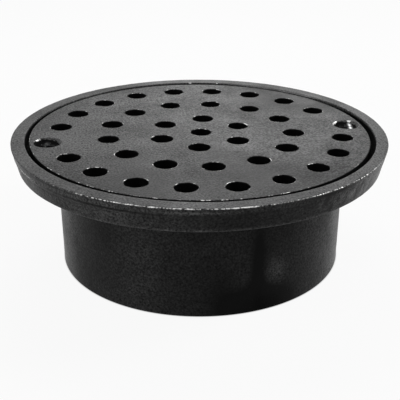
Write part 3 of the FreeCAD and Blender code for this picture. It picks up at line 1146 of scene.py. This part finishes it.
@dataclass
class CountersunkScrews:
    """The two screws: a countersunk head with a cross recess, and a threaded shank."""

    places: Array
    lifts: Array
    head_top: float
    tip: float
    head_radius: float = 5.05
    head_edge: float = 0.2
    head_angle: float = 82.0
    head_chamfer: float = 0.15
    face_rings: int = 44
    innermost: float = 0.1
    shank_radius: float = 3.175
    tip_chamfer: float = 1.2
    pitch: float = 1.27
    pitch_rings: int = 12
    thread_depth: float = 0.65
    thread_slope: float = 2.6
    thread_crest: float = 0.25
    thread_fade: float = 1.2
    thread_gap: float = 0.6
    thread_lead: float = 0.9
    recess_reach: float = 3.1
    recess_half_width: float = 0.75
    recess_depth: float = 2.3
    recess_end: float = 0.25
    recess_side: float = 0.2
    recess_runout: float = 0.7
    segments: int = 144
    turns: tuple[float, ...] = (72.0, 71.0)
    # Streaks of bright steel across the heads, along the view, that stand in for a lamp's glare: painted
    # reflection.
    glare_streaks: tuple[Mark, ...] = (Mark(1.9, 0.0, 0.7, 6.0, 1.0), Mark(-1.0, 0.5, 0.6, 2.0, 0.12))
    glare_turn: float = -15.0
    glare_depth: float = 0.6
    rubbed: float = 0.1
    rubbed_depths: tuple[float, float] = (0.05, 1.1)

    def section(self) -> Array:
        """Section from the tip to the middle of the head, without the two poles.

        Returns:
            Points of the section, radius and height.
        """
        cone_top = self.head_top - self.head_edge
        cone_height = (self.head_radius - self.shank_radius) / math.tan(math.radians(self.head_angle / 2))
        cone_foot = cone_top - cone_height
        steps = round((cone_foot - self.tip) / self.pitch * self.pitch_rings)
        shank = np.linspace(self.tip, cone_foot, steps)
        face = np.linspace(self.head_radius - self.head_chamfer, self.innermost, self.face_rings)
        return np.concatenate([
            [[self.shank_radius - self.tip_chamfer, self.tip]],
            np.stack([np.full_like(shank, self.shank_radius), shank], axis=1),
            [[self.head_radius, cone_top], [self.head_radius, self.head_top - self.head_chamfer]],
            np.stack([face, np.full_like(face, self.head_top)], axis=1),
        ])

    def recess(self, x: Array, y: Array) -> Array:
        """Depth of the cross recess: two crossed grooves with steep sides that get shallower outwards.

        Args:
            x: places along one groove from the middle.
            y: places across it.

        Returns:
            Depth below the head at each place.
        """
        grooves = []
        for along, across in ((np.abs(x), np.abs(y)), (np.abs(y), np.abs(x))):
            floor = self.recess_depth * fading(along, 1, self.recess_reach + self.recess_runout)
            ends = np.clip((self.recess_reach - along) / self.recess_end, 0, 1)
            sides = np.clip((self.recess_half_width - across) / self.recess_side, 0, 1)
            grooves.append(floor * ends * sides)
        return np.maximum(*grooves)

    def build(self) -> Piece:
        """Turns each screw's section, cuts the thread into its shank and the cross into its head.

        On the shank the radius falls by the thread's depth times a triangle wave of z / pitch - t / 2 pi,
        faded in at the tip and out under the head. On the head's face the height falls by the recess's depth.
        Wear is high along a streak across each head that stands in for a lamp's glare, a painted reflection,
        and slight on the sides of the recess near the head's face.

        Returns:
            The two screws as one mesh.
        """
        section = self.section()
        radius, height = section[:, :1], section[:, 1:]
        phase = (height / self.pitch - full_turn(self.segments) / (2 * math.pi)) % 1
        groove = np.clip(np.abs(phase - 0.5) * self.thread_slope - self.thread_crest, 0, 1)
        on_shank = np.isclose(radius, self.shank_radius)
        fade = np.clip((height[on_shank].max() - self.thread_gap - height) / self.thread_fade, 0, 1)
        lead = np.clip((height - self.tip) / self.thread_lead, 0, 1)
        thin = np.where(on_shank, self.thread_depth * np.maximum(groove * fade, 1 - lead), 0)
        on_face = np.isclose(height, self.head_top)
        shallow, deep = self.rubbed_depths
        points, faces, wear = [], [], []
        for place, lift, turn, scratch in zip(self.places, self.lifts, self.turns, self.glare_streaks):
            grid = turned(section, self.segments)
            grid[..., :2] *= (1 - thin / np.maximum(radius, self.innermost))[..., None]
            depth = np.where(on_face, self.recess(*self.along_line(grid, turn)), 0)
            grid[..., 2] -= depth
            poles = np.array([[0, 0, self.tip], [0, 0, self.head_top - self.recess_depth]])
            faces += solid_faces(len(section), self.segments, sum(map(len, points)))
            points.append(np.concatenate([grid.reshape(-1, 3), poles]) + np.append(place, lift))
            rubs_and_glare = np.where((depth > shallow) & (depth < deep), self.rubbed, 0.0)
            # Each head's scratch mark is the streak of bright steel for a lamp's glare: painted reflection.
            glared = added([scratch], *self.along_line(grid, self.glare_turn))
            rubs_and_glare += glared * (depth < self.glare_depth)
            wear.append(np.clip(np.concatenate([rubs_and_glare.ravel(), [0, 0]]), 0, 1))
        piece = mesh_piece("countersunk_screws", np.concatenate(points), faces)
        set_attribute(piece, "wear", np.concatenate(wear))
        return piece

    def along_line(self, grid: Array, turn: float) -> tuple[Array, Array]:
        """Coordinates of points along and across a line through the screw's axis.

        Args:
            grid: points, the last axis x, y and z.
            turn: angle of the line about Z.

        Returns:
            Places along the line and to its left.
        """
        cosine, sine = math.cos(math.radians(turn)), math.sin(math.radians(turn))
        return grid[..., 0] * cosine + grid[..., 1] * sine, grid[..., 1] * cosine - grid[..., 0] * sine


@dataclass(frozen=True)
class Studio:
    """Pale floor, soft light and the camera, placed about the grate's top."""

    grate_top: float
    hub_radius: float
    azimuth: float = -15.345
    pitch: float = 24.2273
    roll: float = 1.0212
    distance: float = 390.5446
    right_shift: float = 15.6266
    up_shift: float = -31.7387
    lens: float = 75.4094
    sensor: float = 36.0
    framing_shift: float = -0.08668
    background: float = 0.975
    fill: float = 0.35
    near_metres: float = 0.01
    far_metres: float = 60.0
    floor_side: float = 24000.0
    # Dark floor colour under the drain: painted shade.
    painted_shadow_floor: str = "#101010"
    open_floor: str = "#dcdcdc"
    floor_glow: float = 0.94
    floor_gain: float = 0.01
    # Span past the hub's foot over which the glow fades in: a painted contact shadow.
    glow_start: float = -1.0
    glow_full: float = 0.6

    def spin(self) -> Matrix:
        """The camera's turn about Z."""
        return Matrix.Rotation(math.radians(self.azimuth), 3, "Z")

    def camera(self) -> None:
        """Sets the camera at the photograph's viewing angle."""
        pitch, roll = math.radians(self.pitch), math.radians(self.roll)
        level = Vector((1, 0, 0))
        back = Vector((0, -math.cos(pitch), math.sin(pitch)))
        level_up = back.cross(level)
        right = level * math.cos(roll) + level_up * math.sin(roll)
        up = level_up * math.cos(roll) - level * math.sin(roll)
        eye = back * self.distance + right * self.right_shift + up * self.up_shift
        spin = self.spin()
        place = (spin @ eye + Vector((0, 0, self.grate_top))) * METRES
        turn = Matrix([spin @ right, spin @ up, spin @ back]).transposed().to_4x4()
        data = bpy.data.cameras.new("photo_camera")
        data.lens, data.sensor_width, data.sensor_fit = self.lens, self.sensor, "HORIZONTAL"
        data.shift_x = self.framing_shift
        data.clip_start, data.clip_end = self.near_metres, self.far_metres
        camera = bpy.data.objects.new("photo_camera", data)
        camera.matrix_world = Matrix.Translation(place) @ turn
        bpy.context.scene.collection.objects.link(camera)
        bpy.context.scene.camera = camera

    def floor(self) -> None:
        """Lays a pale floor that looks white to the camera and keeps a faint shadow.

        The glow that whitens it fades out within a millimetre of the hub: the fade paints a thin contact
        shadow round the hub's foot, and under the drain the floor is painted dark as shade.
        """
        half = self.floor_side / 2
        points = np.array([[-half, -half, 0], [half, -half, 0], [half, half, 0], [-half, half, 0]])
        floor = mesh_piece("studio_floor", points, [np.array([[0, 1, 2, 3]])])
        made = bpy.data.materials.new("matt_white_floor")
        tree = empty_tree(made)
        place = add_node(tree, "TexCoord", output="Object")
        reach = add_node(tree, "VectorMath", (place,), "Value", operation="LENGTH")
        start, full = ((self.hub_radius + past) * METRES for past in (self.glow_start, self.glow_full))
        # 0 under the drain and 1 clear of it: the ramp paints the contact shadow and the shade under the
        #                                      drain.
        clear = add_node(tree, "MapRange", (reach, start, full), interpolation_type="SMOOTHSTEP")
        colours = {6: linear(self.painted_shadow_floor), 7: linear(self.open_floor)}
        colour = add_node(tree, "Mix", {0: clear, **colours}, 2, data_type="RGBA")
        strength = add_node(tree, "Math", (clear, self.background + self.floor_gain), operation="MULTIPLY")
        matt = add_node(tree, "BsdfDiffuse", {"Color": colour})
        glow = add_node(tree, "Emission", {"Strength": strength})
        shown = add_node(tree, "MixShader", (self.floor_glow, matt, glow))
        mixed = add_node(tree, "MixShader", (self.seen_rays(tree), matt, shown))
        add_node(tree, "OutputMaterial", {"Surface": mixed})
        floor.data.materials.append(made)

    def seen_rays(self, tree: bpy.types.NodeTree) -> bpy.types.NodeSocket:
        """Adds the test for rays that show the background.

        Args:
            tree: the node tree of the floor or the world.

        Returns:
            Output that is 1 for camera, glossy and transmission rays.
        """
        rays = add_node(tree, "LightPath").node.outputs
        seen = add_node(tree, "Math", (rays["Is Camera Ray"], rays["Is Glossy Ray"]), operation="MAXIMUM")
        return add_node(tree, "Math", (seen, rays["Is Transmission Ray"]), operation="MAXIMUM")

    def world(self) -> None:
        """Sets the white surroundings, which shine less on matt faces than they show."""
        world = bpy.data.worlds.new("white_surroundings")
        tree = empty_tree(world)
        strength = add_node(tree, "MapRange", (self.seen_rays(tree), 0.0, 1.0, self.fill, self.background))
        glow = add_node(tree, "Background", {"Color": linear("#ffffff"), "Strength": strength})
        add_node(tree, "OutputWorld", {"Surface": glow})
        bpy.context.scene.world = world

    def lamp(self, name: str, place: tuple[float, float, float], aim: tuple[float, float, float], side: float,
             watts: float) -> None:
        """Hangs a square soft lamp.

        Args:
            name: the lamp's name.
            place: where it hangs, in the camera's own turn about Z.
            aim: the point that it faces.
            side: length of its side.
            watts: its power.
        """
        data = bpy.data.lights.new(name, "AREA")
        data.shape, data.size, data.energy = "SQUARE", side * METRES, watts
        lamp = bpy.data.objects.new(name, data)
        start, end = (self.spin() @ Vector(point) * METRES for point in (place, aim))
        turn = (start - end).to_track_quat("Z", "Y").to_matrix().to_4x4()
        lamp.matrix_world = Matrix.Translation(start) @ turn
        bpy.context.scene.collection.objects.link(lamp)

    def build(self) -> None:
        """Builds the floor, the surroundings, the lamps and the camera."""
        self.floor()
        self.world()
        self.lamp("overhead_softbox", (-60, 360, 520), (0, 60, 59), 300, 1.8)
        self.lamp("back_softbox", (40, 1300, 480), (0, 0, 40), 500, 2.0)
        self.lamp("left_softbox", (-770, -640, 160), (-20, -60, 35), 700, 4.0)
        self.lamp("right_softbox", (850, 180, 670), (0, 0, 50), 300, 6.0)
        self.camera()


def millimetres(corner: Vector) -> Vector:
    """A corner of a CAD box in millimetres."""
    return corner / METRES


def main() -> None:
    """Builds the drain's pieces in order, dresses them and sets up the studio."""
    logging.basicConfig(level=logging.INFO, format="%(name)s: %(message)s")
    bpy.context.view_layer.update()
    bpy.context.scene.view_settings.view_transform = "Standard"
    mounts = {mount["name"]: mount for mount in frame["record"]["mounts"]}
    body_high = millimetres(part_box("drain_body")[1])
    grate_low, grate_high = map(millimetres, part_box("grate"))
    screw_low, screw_high = map(millimetres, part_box("grate_screws"))
    turns = np.radians(SCREW_TURNS)
    circle = -screw_low.x - CountersunkScrews.head_radius
    places = circle * np.stack([np.cos(turns), np.sin(turns)], axis=1) + SCREW_SHIFTS
    body = CastBody(height=body_high.z, rim_radius=body_high.x + RIM_ROUNDED_OFF,
                    flange_base=mounts["flange_underside"]["pos_m"][2] / METRES,
                    bore_radius=mounts["outlet_socket"]["dims"]["r_mm"], seat=grate_low.z,
                    grate_radius=grate_high.x, screw_places=places)
    grate = PerforatedGrate(grate_high.x, grate_high.z, grate_low.z, places)
    lifts = SCREW_LEAN * grate.rise(*places.T) + SCREW_LIFT
    screws = CountersunkScrews(places, lifts, screw_high.z, screw_low.z)
    adopt(body.build(), "drain_body", DippedIron("dipped_cast_iron_body").material())
    adopt(grate.build(), "grate", DippedIron("dipped_cast_iron_grate", grit=1.7).material())
    adopt(screws.build(), "grate_screws", BlackenedSteel("blackened_steel").material())
    Studio(grate_high.z, body.bore_radius + body.hub_wall_bottom).build()


if __name__ == "__main__":
    main()
